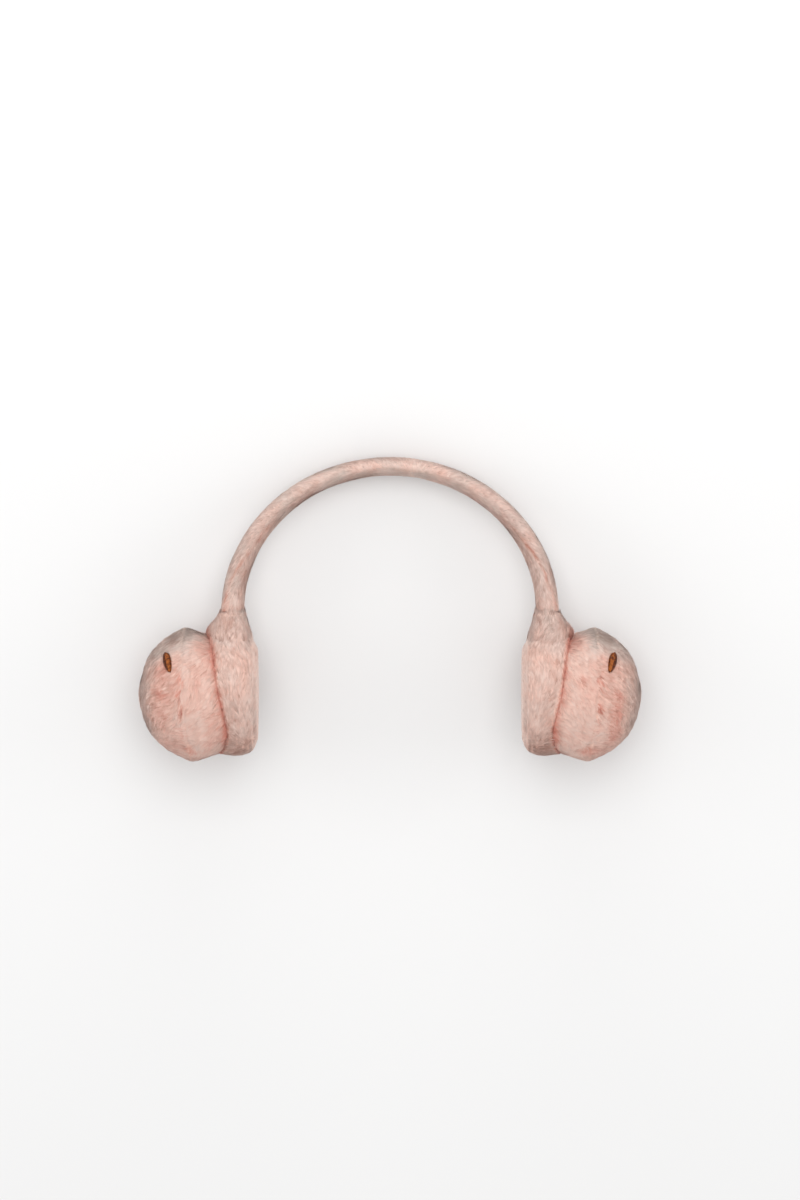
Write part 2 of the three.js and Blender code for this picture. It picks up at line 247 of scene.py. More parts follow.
class Surface:
    """A surface of triangles in the upright frame, and what is nearest on it."""

    def __init__(self, points, faces):
        self.points, self.faces = points, faces
        self.tree = BVHTree.FromPolygons(points.tolist(), faces.tolist())

    def nearest(self, points):
        """For each point, the surface's nearest point, its normal and how far away it is."""
        found = [self.tree.find_nearest(point) for point in points.tolist()]
        spots, normals, _, distances = zip(*found)
        return np.array(spots), np.array(normals), np.array(distances)[:, None]


def joined(surfaces):
    """Several surfaces as one, to find what is nearest on any of them."""
    starts = np.cumsum([0] + [len(surface.points) for surface in surfaces])
    points = np.concatenate([surface.points for surface in surfaces])
    faces = np.concatenate([surface.faces + start for surface, start in zip(surfaces, starts)])
    return Surface(points, faces)


class Form(Surface):
    """A node's smooth outer form, with the way that each triangle and each point faces."""

    def __init__(self, node, hub, axle, period):
        """The node's locks repeat every `period` degrees round the axle through the hub."""
        points, faces = self.even_mesh(node)
        points = self.without_locks(node, points, hub, axle, period)
        super().__init__(relaxed(points, faces, RELAX_ROUNDS), faces)
        a, b, c = (self.points[faces[:, k]] for k in range(3))
        facing = np.cross(b - a, c - a)
        self.areas = np.linalg.norm(facing, axis=1) / 2
        total = [
            sum(np.bincount(faces[:, k], facing[:, i], len(self.points)) for k in range(3)) for i in range(3)
        ]
        self.normals = unit(np.stack(total, 1))

    @staticmethod
    def even_mesh(node):
        """The node's surface cut into small even triangles."""
        obj = bpy.data.objects.new(node + "_form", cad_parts[node].data.copy())
        bpy.context.collection.objects.link(obj)
        remesh = obj.modifiers.new("even faces", "REMESH")
        remesh.mode = "VOXEL"
        remesh.voxel_size = FORM_VOXEL * MM
        mesh = bpy.data.meshes.new_from_object(obj.evaluated_get(bpy.context.evaluated_depsgraph_get()))
        bpy.data.objects.remove(obj)
        points = to_upright(numbers_of(mesh.vertices, "co", 3).astype(float) / MM)
        faces = triangles_of(mesh)
        bpy.data.meshes.remove(mesh)
        return points, faces

    @staticmethod
    def without_locks(node, points, hub, axle, period):
        """Each point set to the mean of the node's surface at places like it, over one period to either
        side."""
        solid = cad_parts[node].data
        corners = to_upright(node_points(node))
        tree = BVHTree.FromPolygons(corners.tolist(), triangles_of(solid).tolist())
        total, weights = np.zeros_like(points), np.zeros((len(points), 1))
        for k in range(1 - PERIOD_SAMPLES, PERIOD_SAMPLES):
            turn = np.array(Matrix.Rotation(math.radians(period * k / PERIOD_SAMPLES), 3, Vector(axle)))
            turned = (points - hub) @ turn.T + hub
            found = np.array([tree.find_nearest(place)[0] for place in turned.tolist()])
            back = (found - hub) @ turn + hub
            near = np.linalg.norm(back - points, axis=1, keepdims=True) < STRAY_LIMIT
            weight = (PERIOD_SAMPLES - abs(k)) * near
            total += back * weight
            weights += weight
        return total / weights

    def scatter(self, count, rng):
        """Points spread evenly over the surface, and their normals."""
        place = (np.arange(count) + rng.random(count)) / count
        chosen = np.searchsorted(np.cumsum(self.areas) / self.areas.sum(), place)
        corners = self.faces[chosen.clip(0, len(self.faces) - 1)]
        u, v = rng.random((2, count, 1))
        flip = u + v > 1
        u, v = np.where(flip, 1 - u, u), np.where(flip, 1 - v, v)
        weights = np.stack([1 - u - v, u, v])
        points = sum(w * self.points[corners[:, k]] for k, w in enumerate(weights))
        normals = sum(w * self.normals[corners[:, k]] for k, w in enumerate(weights))
        return points, unit(normals)


def seat(points, heights, form, neighbour):
    """The points moved to these heights over the form, or over its neighbour where that is nearer, and the
    normals there."""
    spots, normals, distances = form.nearest(points)
    if neighbour:
        meeting = distances[:, 0] > SEAT_LIMIT
        other, other_normals, other_distances = neighbour.nearest(points[meeting])
        nearer = other_distances < distances[meeting]
        spots[meeting] = np.where(nearer, other, spots[meeting])
        normals[meeting] = np.where(nearer, other_normals, normals[meeting])
    return spots + normals * heights, normals


# Meshes
def mesh_object(name, points, faces):
    """A mesh object of triangles, from arrays of points in the upright frame and of their corners."""
    mesh = bpy.data.meshes.new(name)
    mesh.vertices.add(len(points))
    mesh.vertices.foreach_set("co", to_row(points).astype(np.float32).ravel())
    mesh.loops.add(faces.size)
    mesh.loops.foreach_set("vertex_index", faces.astype(np.int32).ravel())
    mesh.polygons.add(len(faces))
    mesh.polygons.foreach_set("loop_start", np.arange(0, faces.size, 3, dtype=np.int32))
    mesh.update(calc_edges=True)
    mesh.shade_smooth()
    obj = bpy.data.objects.new(name, mesh)
    bpy.context.scene.collection.objects.link(obj)
    return obj


def set_value(obj, name, values):
    """A number at each vertex, which a material reads by its name."""
    layer = obj.data.attributes.new(name, "FLOAT", "POINT")
    layer.data.foreach_set("value", values.astype(np.float32))


def dress(obj, material, slot_name, *nodes):
    obj.data.materials.append(material)
    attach(obj, BODY)
    if nodes:
        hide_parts(*nodes)
    return obj


class Noise:
    """Smooth noise from about -1 to 1 over points, made of a few waves."""

    WAVES = 6
    FREQUENCIES = 0.7, 1.6
    PHASES = 0, 6.3
    SPREAD = 2.4

    def __init__(self, wavelength, name):
        rng = rng_for(name)
        self.waves = [
            (
                unit(rng.normal(size=3)) * rng.uniform(*self.FREQUENCIES) * 2 * math.pi / wavelength,
                rng.uniform(*self.PHASES),
            )
            for _ in range(self.WAVES)
        ]

    def __call__(self, points):
        return sum(np.sin(points @ wave + phase) for wave, phase in self.waves) / self.SPREAD


# Places on the pieces
class Cup:
    """Where a cup's crease and seam ridge run, by the angle round it from the top, and its almond."""

    TURNS = np.arange(SLICE_TURN / 2, 180, SLICE_TURN)

    def __init__(self, side_name, side, puff):
        self.side = side
        self.almond = Almond(side_name, side)
        cup = to_cup(puff.points, side)
        radius = np.hypot(cup[:, 1], cup[:, 2])
        turn = self.turn(cup)
        rim = radius > radius.max() * RIM_SHARE
        self.creases, self.ridges = [], []
        for middle in self.TURNS:
            here = rim & (np.abs(turn - middle) < SLICE_TURN / 2)
            self.creases.append(cup[here, 0].min())
            self.ridges.append(cup[here][radius[here].argmax(), 0])

    @staticmethod
    def turn(cup):
        return np.degrees(np.arctan2(np.abs(cup[:, 1]), cup[:, 2]))

    def past_crease(self, cup):
        """How far out past the crease each point lies."""
        return cup[:, 0] - np.interp(self.turn(cup), self.TURNS, self.creases)

    def past_ridge(self, cup):
        return cup[:, 0] - np.interp(self.turn(cup), self.TURNS, self.ridges)


class Almond:
    """The frame of an almond's node: its middle, its directions across it, up it and out of the fur, and its
    size."""

    STATION_REACH = 0.1
    NEAR_ACROSS, NEAR_PAST_END, NEAR_OUT = 7, 4, 10

    def __init__(self, side_name, side):
        points = to_upright(node_points(side_name + "_embroidered_almond"))
        spread = np.linalg.eigh(np.cov(points.T))[1]
        out = spread[:, 0] * np.sign(spread[1, 0]) * -1
        up = spread[:, 2] * np.sign(spread[2, 2])
        self.axes = np.stack([np.cross(up, out), up, out])
        local = points @ self.axes.T
        low, high = local.min(0), local.max(0)
        self.length = high[1] - low[1]
        self.thickness = high[2] - low[2]
        self.middle = np.array(((low[0] + high[0]) / 2, (low[1] + high[1]) / 2, low[2]))
        local -= self.middle
        self.stations = np.unique(local[:, 1].round(1))
        self.halves = [
            np.abs(local[np.abs(local[:, 1] - up) < self.STATION_REACH][:, 0]).max() for up in self.stations
        ]
        self.side = side

    def half_width(self, up):
        return np.interp(up, self.stations, self.halves, left=0, right=0)

    def covers(self, points):
        """Which points lie on the almond or within the fur's clearance of it."""
        local = points @ self.axes.T - self.middle
        near = (np.abs(local[:, 1]) < self.length / 2 + FUR_CLEARANCE) & (np.abs(local[:, 2]) < self.length)
        return near & (np.abs(local[:, 0]) < self.half_width(local[:, 1]) + FUR_CLEARANCE)

    def nearness(self, points):
        """1 at the almond's middle, fading to 0 a few millimetres past its edge."""
        local = points @ self.axes.T - self.middle
        reach = self.NEAR_ACROSS, self.length / 2 + self.NEAR_PAST_END, self.NEAR_OUT
        return bell(np.linalg.norm(local / reach, axis=1, keepdims=True), 1)

    def to_upright(self, local):
        return (local + self.middle) @ self.axes


def arch_frame(points):
    """Directions along the arch from left to right, and out from the head, at each point."""
    steep = (points[:, 2] - SPRING_Z) / ARCH_RISE**2
    out = unit(np.stack([points[:, 0] / ARCH_HALF**2, 0 * steep, steep], 1))
    return np.stack([out[:, 2], 0 * steep, -out[:, 0]], 1), out


def band_place(points):
    """For each point of the headband: the angle up from its nearer end, and 0 at the outer edge to 1 at the
    inner."""
    scaled = np.stack([np.abs(points[:, 0]) / ARCH_HALF, (points[:, 2] - SPRING_Z) / ARCH_RISE], 1)
    outward = (np.linalg.norm(scaled, axis=1) - 1) * (ARCH_HALF + ARCH_RISE) / 2
    return np.degrees(np.arctan2(scaled[:, 1], scaled[:, 0])), 0.5 - outward / BAND_THICKNESS


# How the fur lies. Each comb is given points of a form, their normals and their cup, which is None on the
# headband, and so are the functions below for tones, for where fur grows and for where it is short.
@dataclass
class Whorl:
    """A place on a cup's front, and again on its back, that the fur radiates from."""

    x: float
    z: float
    strength: float
    reach: float
    eye: float

    def pull(self, cup):
        away = cup - np.array((self.x, 0, self.z))
        away[:, 1] = 0
        distance = np.linalg.norm(away, axis=1, keepdims=True)
        return self.strength * bell(distance, self.reach) * away / (distance + self.eye)


# The puff's whorl, and the lies on its side panel and on the upper and lower part of its dome
PUFF_WHORL = Whorl(x=42.5, z=-35.0, strength=1.5, reach=12.0, eye=1.5)
SIDE_PANEL_LIE = np.array((0.62, 0.0, -0.78))
UPPER_DOME_LIE = np.array((0.95, 0.0, -0.35))
LOWER_DOME_LIE = np.array((0.55, 0.0, -0.85))

PAD_WHORL = np.array((10.0, 0.0, -23.0))
PAD_DEPTH_SHARE = 0.3  # how much the whorl's pull reckons with depth from front to back
NECK_LIE = np.array((0.0, 0.0, 1.0))
EAR_FACE_LIE = np.array((0.0, 1.0, 0.25))

CROWN_TURN = 13.0  # how far right of the middle the headband's fur turns from one end to the other
CROWN_TURN_WIDTH, CROWN_REACH = 12, 14
CROWN_LIE = np.array((0.0, 0.25, 0.7))
OUTER_LEAN, INNER_LEAN = 0.62, 0.12


def blend(share, first, second):
    """The first where the share is 0, and the second where it is 1."""
    return first * (1 - share) + second * share


def comb_puff(points, normals, cup):
    """The puff's fur lies out from the crease and down, flatter past the seam ridge, and radiates from a
    whorl."""
    places = to_cup(points, cup.side)
    dome = ramp(cup.past_ridge(places), -3, 6)[:, None]
    upper = ramp(places[:, 2], -30, 5)[:, None]
    lie = blend(dome, SIDE_PANEL_LIE, blend(upper, LOWER_DOME_LIE, UPPER_DOME_LIE))
    return (lie + PUFF_WHORL.pull(places)) * (cup.side, 1, 1)


def on_ear_face(points, normals, cup):
    """1 on a pad's flat face against the ear, fading to 0 round its rim."""
    depth = to_cup(points, cup.side)[:, 0:1]
    return ramp(-normals[:, 0:1] * cup.side, *EAR_FACE_FACING) * (1 - ramp(depth, *EAR_FACE_DEPTH))


def comb_pad(points, normals, cup):
    """The ear pad's fur radiates from a whorl low on its front, and again on its back, and runs up the neck.
    On the ear face it is brushed back."""
    places = to_cup(points, cup.side)
    away = (places - PAD_WHORL) * (1, PAD_DEPTH_SHARE, 1)
    up = ramp(places[:, 2], 12, 40)[:, None]
    lie = blend(up, unit(away), NECK_LIE)
    return blend(on_ear_face(points, normals, cup), lie, EAR_FACE_LIE) * (cup.side, 1, 1)


def comb_band(points, normals, cup):
    """The headband's fur lies down to its ends and leans outwards, less so on its inner part. A little to the
    right of the crown it turns from one end to the other, up the front and over to the back."""
    along, out = arch_frame(points)
    inner = ramp(band_place(points)[1], 0.45, 0.85)[:, None]
    past_turn = points[:, 0:1] - CROWN_TURN
    lie = along * np.tanh(past_turn / CROWN_TURN_WIDTH) + out * blend(inner, OUTER_LEAN, INNER_LEAN)
    return lie + bell(past_turn, CROWN_REACH) * CROWN_LIE


# Tones, from 0 for the deep salmon of a parting to 1 for grey, and lights, from -1 darkest to 1 palest
@dataclass
class Shade:
    """A tone and a light, or a change of them."""

    tone: float = 0.0
    light: float = 0.0


@dataclass(kw_only=True)
class Mark(Shade):
    """A soft patch on a cup's front, and again on its back: its place, its size and what it changes."""

    x: float
    z: float
    wide: float
    tall: float

    def weight(self, cup):
        return bell(np.hypot((cup[:, 0] - self.x) / self.wide, (cup[:, 2] - self.z) / self.tall), 1.0)


PUFF_MARKS = (
    # Greyer in tone and darker on the puff's top; the darkening is painted shade
    Mark(x=50, z=38, wide=6, tall=4, tone=0.08, light=-0.65),
    Mark(x=54, z=31, wide=1.8, tall=5, tone=0.12, light=0.5),
    Mark(x=44, z=35, wide=5, tall=6, tone=0.16, light=0.1),
    Mark(x=33.5, z=33, wide=3.5, tall=7, tone=-0.08, light=0.05),
    Mark(x=36, z=27, wide=4, tall=4, tone=0.1),
    Mark(x=46.5, z=11, wide=1.7, tall=1.6, tone=-0.34, light=-0.3),
    Mark(x=50, z=4, wide=1.3, tall=2, tone=-0.2, light=-0.1),
    Mark(x=47.5, z=-8, wide=1.4, tall=2.2, tone=-0.34, light=-0.3),
    Mark(x=46.5, z=-14, wide=4, tall=6, tone=0.04, light=0.1),
    Mark(x=60, z=-13, wide=9, tall=9, tone=-0.05, light=0.12),
    Mark(x=58, z=2, wide=5, tall=2.2, tone=-0.14, light=-0.1),
    Mark(x=42, z=-35, wide=2.6, tall=2.4, tone=-0.3, light=-0.1),
    Mark(x=43, z=-24, wide=7, tall=7, tone=0.06, light=0.5),
    Mark(x=36, z=12, wide=2.5, tall=4, tone=-0.16, light=-0.1),
    Mark(x=31, z=-28, wide=5, tall=9, light=0.3),
    Mark(x=64, z=-6, wide=5, tall=6, tone=-0.02, light=-0.3),
    Mark(x=63, z=-23, wide=5, tall=6, light=-0.3),
)
PAD_MARKS = (
    Mark(x=9, z=-35, wide=8, tall=5, tone=-0.1, light=-0.7),
    Mark(x=9, z=-22, wide=4, tall=6, tone=0.04, light=0.35),
    Mark(x=11, z=10, wide=5, tall=16, tone=-0.03, light=0.15),
    Mark(x=19, z=-28, wide=2.5, tall=9, tone=-0.14, light=-0.35),
    Mark(x=7, z=42, wide=3.5, tall=7, light=0.45),
    Mark(x=15, z=44, wide=3, tall=7, tone=0.08, light=0.1),
)

PATCHES, STREAKS = Noise(24, "patches"), Noise(9, "streaks")
CREASE_WIDTH, SEAM_WIDTH, PARTING_WIDTH = 1.4, 0.7, 0.9
PARTING_ANGLES, PARTING_PLACES = (0, 15, 29, 45), (0.22, 0.5, 0.76, 0.9)  # where it runs up the headband


def shaded(start, *changes):
    """Tone and light at each point: the starting ones, and changes with each one's weight at the points."""
    tone, light = start.tone, start.light
    for weight, change in changes:
        tone = tone + change.tone * weight
        light = light + change.light * weight
    return tone, light


def marked(marks, places):
    return [(mark.weight(places), mark) for mark in marks]


def puff_tones(points, normals, cup):
    places = to_cup(points, cup.side)
    # The puff's top is greyer in tone, and darker there as painted shade
    grey_and_painted_shade = ramp(places[:, 2] + 0.5 * (places[:, 0] - 50), 22, 40)
    # Painted shade: towards the puff's outer side, which turns away from the front, it is painted darker and
    # greyer
    far = ramp(places[:, 0], 58, 74)
    sewn_part = ramp(places[:, 2], -34, -24) * (1 - ramp(places[:, 2], 12, 24))
    broken = (0.6 + 0.6 * STREAKS(points)).clip(0, 1.2)
    return shaded(
        Shade(tone=0.46, light=0.12),
        (np.maximum(grey_and_painted_shade, 0.7 * far), Shade(tone=0.4)),
        # painted shade on the puff's top
        (grey_and_painted_shade, Shade(light=-0.35)),
        # painted shade towards the outer side
        (far, Shade(light=-0.65)),
        # Painted shade: past the seam ridge the dome turns away from the front and is painted darker, and a
        # little more salmon in tone
        (ramp(cup.past_ridge(places), -2, 4), Shade(tone=-0.07, light=-0.4)),  # dome
        (PATCHES(points), Shade(tone=0.05)),
        (STREAKS(points), Shade(tone=0.03, light=0.08)),
        (bell(cup.past_crease(places), CREASE_WIDTH), Shade(tone=-0.36, light=0.05)),
        (bell(cup.past_ridge(places), SEAM_WIDTH) * broken * sewn_part, Shade(tone=-0.24, light=-0.3)),
        *marked(PUFF_MARKS, places),
    )


def pad_tones(points, normals, cup):
    places = to_cup(points, cup.side)
    return shaded(
        Shade(tone=0.54, light=-0.34),
        (ramp(places[:, 2], 20, 48), Shade(tone=0.1, light=-0.38)),  # neck
        # Painted light: the rim of the ear face, which the lamps leave dark, is painted paler and a little
        # greyer
        (bell(places[:, 0] - 2, 3), Shade(tone=0.06, light=0.35)),  # rim of the ear face
        (PATCHES(points), Shade(tone=0.04)),
        (STREAKS(points), Shade(tone=0.03, light=0.1)),
        (bell(cup.past_crease(places), CREASE_WIDTH), Shade(tone=-0.34, light=0.05)),
        *marked(PAD_MARKS, places),
    )


def band_tones(points, normals, cup):
    up, inward = band_place(points)
    parting = (inward - np.interp(up, PARTING_ANGLES, PARTING_PLACES)) * BAND_THICKNESS
    broken = (0.55 + 0.45 * STREAKS(points)) * (1 - ramp(up, 30, 48))
    return shaded(
        Shade(tone=0.65, light=-0.38),
        (ramp(up, 35, 85), Shade(light=0.44)),  # crown
        (bell(up - 2, 6), Shade(tone=-0.08, light=0.35)),  # ends
        # Painted shade on the band's edges, which turn away from the front: darker and greyer at the outer
        # edge, darker and pinker in tone at the inner, and much darker on top of the crown
        (1 - ramp(inward, 0.0, 0.3), Shade(tone=0.08, light=-0.15)),  # outer edge
        (ramp(inward, 0.75, 1.0), Shade(tone=-0.08, light=-0.1)),  # inner edge
        ((1 - ramp(inward, 0.15, 0.55)) * ramp(up, 60, 88), Shade(light=-0.75)),  # top of the crown
        (bell(parting, PARTING_WIDTH) * broken, Shade(tone=-0.4, light=-0.5)),
        (PATCHES(points), Shade(tone=0.05)),
        (STREAKS(points), Shade(tone=0.04, light=0.1)),
    )


# Fur pile
@dataclass
class Pile:
    """How fur grows on a kind of piece. Lengths are in millimetres, and heights are over the smooth form."""

    slot: str
    strands: int
    length: float
    cover: float
    rise: float
    width: float
    clump_area: float
    comb: Callable
    tones: Callable
    keep: Callable
    short: Callable


class Clumps:
    """The tufts that strands gather in: each strand's own tuft, and the tuft's turn, length, height and
    shade."""

    def __init__(self, roots, count, rng):
        self.leaders = rng.choice(len(roots), int(count), replace=False)
        tree = KDTree(len(self.leaders))
        for k, i in enumerate(self.leaders.tolist()):
            tree.insert(roots[i], k)
        tree.balance()
        self.mine = np.array([tree.find(root)[1] for root in roots.tolist()])
        self.rng = rng

    def vary(self, spread):
        """A random number for each strand, the same throughout a tuft."""
        return self.rng.normal(0, spread, len(self.leaders))[self.mine]

    def draw_in(self, tips, share):
        """Tips moved this share of the way to their leader's tip, where that is near."""
        leader = tips[self.leaders[self.mine]]
        near = np.linalg.norm(leader - tips, axis=1, keepdims=True) < CLUMP_REACH
        return np.where(near, tips + (leader - tips) * share, tips)


def shortened(roots, lie, length, covered):
    """Lengths cut back so that no strand reaches over a covered place, and which strands are left."""
    free, share = np.ones(len(roots), bool), np.zeros((len(roots), 1))
    for step in SHORTENINGS:
        free &= ~covered(roots + lie * length * step)
        share[free] = step
    return length * share, share[:, 0] > 0


def narrowed(share):
    """How wide a strand is, as a share, when it is cut to this share of its length."""
    return LEAST_WIDTH_SHARE + (1 - LEAST_WIDTH_SHARE) * share


def strands(name, form, pile, cup, neighbour):
    """One mesh of fur. Each strand is a tapered blade of one triangle, from the cover to over the smooth
    form. Tips may lie on the neighbouring form."""
    rng = rng_for(name)
    roots, normals = form.scatter(pile.strands, rng)
    kept = pile.keep(roots, normals, cup)
    roots, normals = roots[kept], normals[kept]
    count = len(roots)
    lie = unit(tangent(pile.comb(roots, normals, cup), normals))
    furred_area = count / pile.strands * form.areas.sum()
    clumps = Clumps(roots, furred_area / pile.clump_area, rng)

    swirl = SWIRL_TURN * Noise(SWIRL_WAVELENGTH, name + " swirl")(roots)
    curl = CURL_TURN * Noise(CURL_WAVELENGTH, name + " curl")(roots)
    turn = swirl + curl + clumps.vary(TUFT_TURN_SPREAD) + rng.normal(0, STRAND_TURN_SPREAD, count)
    lie = lie * np.cos(turn)[:, None] + np.cross(normals, lie) * np.sin(turn)[:, None]
    length = pile.length * pile.short(roots, normals, cup) * (1 + clumps.vary(TUFT_LENGTH_SPREAD))
    length = (length * rng.uniform(*STRAND_LENGTHS, count)).clip(SHORTEST)[:, None]
    floor = cover_height(roots, normals, pile, cup)
    shade = clumps.vary(1.0)
    height = floor + pile.rise * rng.uniform(*STRAND_RISES, (count, 1))
    height += TUFT_LIFT * shade[:, None].clip(*TUFT_LIFT_LIMITS)
    tone_shift = clumps.vary(TUFT_TONE_SPREAD) + rng.normal(0, STRAND_TONE_SPREAD, count)
    width, left = pile.width, np.ones(count, bool)
    if cup:
        height += top_lift(roots, cup)
        full = length
        length, left = shortened(roots, lie, full, cup.almond.covers)
        width = width * narrowed(length / full)

    _, tip_normals = seat(roots + lie * length, height, form, neighbour)
    turned = np.arccos(dots(normals, tip_normals).clip(-1, 1))
    cut = (MOST_TURN / np.maximum(turned, MOST_TURN)).clip(LEAST_CUT, 1)
    length, width = length * cut, width * narrowed(cut)
    tips, tip_normals = seat(roots + lie * length, height, form, neighbour)
    tips = clumps.draw_in(tips, rng.uniform(*DRAWN_SHARES, (count, 1)))
    starts = roots + normals * (floor - pile.rise * rng.uniform(*ROOT_DEPTHS, (count, 1)))
    across = unit(np.cross(tips - starts, normals)) * width * rng.uniform(*HALF_WIDTHS, (count, 1))
    points = np.stack([starts - across, starts + across, tips], 1)[left]
    obj = mesh_object(name, points.reshape(-1, 3), np.arange(points.size // 3).reshape(-1, 3))

    tone, light = pile.tones(roots, normals, cup)
    tone = (tone + tone_shift).clip(*TONE_LIMITS)
    light = light + TUFT_SHADE * shade + rng.normal(0, STRAND_SHADE_SPREAD, count)
    light = (LIGHT_SCALE * light).clip(*LIGHT_LIMITS)
    set_strand_map(obj, tone[left, None], light[left, None])
    shades = np.stack([normals, normals, tip_normals], 1)[left]
    facing = unit(np.cross(points[:, 1] - points[:, 0], points[:, 2] - points[:, 0]))[:, None]
    facing = facing * np.sign(dots(facing, shades[:, :1]))
    set_normals(obj, unit(blend(FORM_SHADING, facing, shades)).reshape(-1, 3))
    return obj


def near_crease(points, cup):
    """1 on a cup's crease, fading to 0 a few millimetres from it."""
    return bell(cup.past_crease(to_cup(points, cup.side)), CREASE_REACH)[:, None]


def cover_height(points, normals, pile, cup):
    """Height of the cover over the smooth form. It swells a little at the crease, less so at the bottom, and
    where the headband goes into the necks. It is sunk on the ear face, so that the fur's tips are level with
    the CAD's face."""
    height = pile.cover + JOINT_LIFT * bell(points[:, 2:3] - SPRING_Z, JOINT_REACH)
    if cup:
        low = ramp(-points[:, 2:3], *LOW_CREASE)
        height += CREASE_LIFT * near_crease(points, cup) * (1 - LOW_CREASE_CUT * low)
    if pile is PAD_PILE:
        height -= EAR_FACE_SINK * on_ear_face(points, normals, cup)
    return height


def top_lift(points, cup):
    """How much higher the fur stands where the crease comes out at the top, to fill the notch there."""
    return TOP_LIFT * near_crease(points, cup) * ramp(points[:, 2:3], *TOP_NOTCH)


def set_strand_map(obj, tone, light):
    """The fur material's two coordinates as a UV map: tone, and the way from root to tip, which light
    shifts."""
    side = np.array((-0.5, 0.5, 0.0)) * TONE_WIDTH
    along = np.array((ROOT_ALONG, ROOT_ALONG, TIP_ALONG)) + light * (ROOT_LIGHT, ROOT_LIGHT, TIP_LIGHT)
    layer = obj.data.uv_layers.new(name="OFBake")
    places = np.stack([tone + side, along.clip(*ALONG_LIMITS)], 2)
    layer.uv.foreach_set("vector", places.astype(np.float32).ravel())


def set_normals(obj, normals):
    obj.data.normals_split_custom_set_from_vertices((normals @ AXES).tolist())


def cover(name, form, pile, cup):
    """The cloth that the fur grows from: the same form, just under the strands' roots, and deeper beside the
    almond."""
    height = cover_height(form.points, form.normals, pile, cup) - COVER_DEPTH
    if pile is PUFF_PILE:
        height -= ALMOND_DEPTH * cup.almond.nearness(form.points)
    obj = mesh_object(name, form.points + form.normals * height, form.faces)
    tone, _ = pile.tones(form.points, form.normals, cup)
    set_value(obj, "tone", tone.clip(0, 1))
    return obj


def sewn(points, outward):
    """Which points lie on a face where a pad and its puff are sewn together."""
    return (outward > SEWN_FACING) & (np.hypot(points[:, 1], points[:, 2]) < SEWN_FACE_RADIUS)


def keep_puff(points, normals, cup):
    return ~sewn(points, -normals[:, 0] * cup.side)


def keep_pad(points, normals, cup):
    side_or_below = (normals[:, 2] < NECK_TOP_FACING) | (points[:, 2] < SPRING_Z - NECK_TOP_DEPTH)
    return ~sewn(points, normals[:, 0] * cup.side) & side_or_below


def keep_band(points, normals, cup):
    above = points[:, 2] - SPRING_Z
    return (above > TONGUE_HEIGHT) | ((above > 0) & (normals[:, 2] > TONGUE_FACING))


def short_puff(points, normals, cup):
    past = cup.past_crease(to_cup(points, cup.side))
    return blend(ramp(past, 0, 7), CREASE_LENGTH_SHARE, 1)


def short_pad(points, normals, cup):
    before = -cup.past_crease(to_cup(points, cup.side))
    near = blend(ramp(before, 0, 6), CREASE_LENGTH_SHARE, 1)
    return near * (1 - EAR_FACE_CUT * on_ear_face(points, normals, cup)[:, 0])


def short_band(points, normals, cup):
    return np.ones(len(points))


PUFF_PILE = Pile(
    slot="puff_fur", strands=190000, length=7.0, cover=0.15, rise=0.55, width=0.4, clump_area=1.5,
    comb=comb_puff, tones=puff_tones, keep=keep_puff, short=short_puff,
)
PAD_PILE = Pile(
    slot="pad_fur", strands=150000, length=6.5, cover=0.25, rise=0.5, width=0.4, clump_area=1.5,
    comb=comb_pad, tones=pad_tones, keep=keep_pad, short=short_pad,
)
BAND_PILE = Pile(
    slot="band_fur", strands=150000, length=5.5, cover=0.25, rise=0.45, width=0.36, clump_area=1.3,
    comb=comb_band, tones=band_tones, keep=keep_band, short=short_band,
)


# Materials
def new_material(name):
    material = bpy.data.materials.new(name)
    material.use_nodes = True
    tree = material.node_tree
    return material, tree.nodes, tree.links, tree.nodes["Principled BSDF"]


def srgb(red, green, blue):
    """Linear colour from the 0 to 255 numbers that a picture shows."""
    shares = np.array([red, green, blue]) / 255
    return (*np.where(shares <= 0.04045, shares / 12.92, ((shares + 0.055) / 1.055) ** 2.4), 1.0)


def colour_ramp(nodes, stops):
    node = nodes.new("ShaderNodeValToRGB")
    while len(node.color_ramp.elements) < len(stops):
        node.color_ramp.elements.new(0.5)
    for element, (position, colour) in zip(node.color_ramp.elements, stops):
        element.position = position
        element.color = srgb(*colour)
    return node


def multiplied(nodes, links, first, second):
    mix = nodes.new("ShaderNodeMix")
    mix.data_type = "RGBA"
    mix.blend_type = "MULTIPLY"
    mix.inputs["Factor"].default_value = 1.0
    links.new(first, mix.inputs["A"])
    links.new(second, mix.inputs["B"])
    return mix.outputs["Result"]


def noise_texture(nodes, links, vector, scale):
    texture = nodes.new("ShaderNodeTexNoise")
    texture.inputs["Scale"].default_value = scale
    texture.inputs["Detail"].default_value = 3.0
    texture.inputs["Roughness"].default_value = 0.55
    links.new(vector, texture.inputs["Vector"])
    return texture.outputs["Fac"]


def ranged(nodes, links, value, low, high):
    node = nodes.new("ShaderNodeMapRange")
    node.inputs["To Min"].default_value = low
    node.inputs["To Max"].default_value = high
    links.new(value, node.inputs["Value"])
    return node.outputs["Result"]


def bumped(nodes, links, height, strength, distance):
    bump = nodes.new("ShaderNodeBump")
    bump.inputs["Strength"].default_value = strength
    bump.inputs["Distance"].default_value = distance
    links.new(height, bump.inputs["Height"])
    return bump.outputs["Normal"]


FUR_TONES = (
    (0.0, (200, 114, 98)),
    (0.22, (222, 161, 145)),
    (0.44, (236, 201, 187)),
    (0.64, (230, 208, 198)),
    (0.84, (212, 197, 188)),
    (1.0, (192, 179, 170)),
)
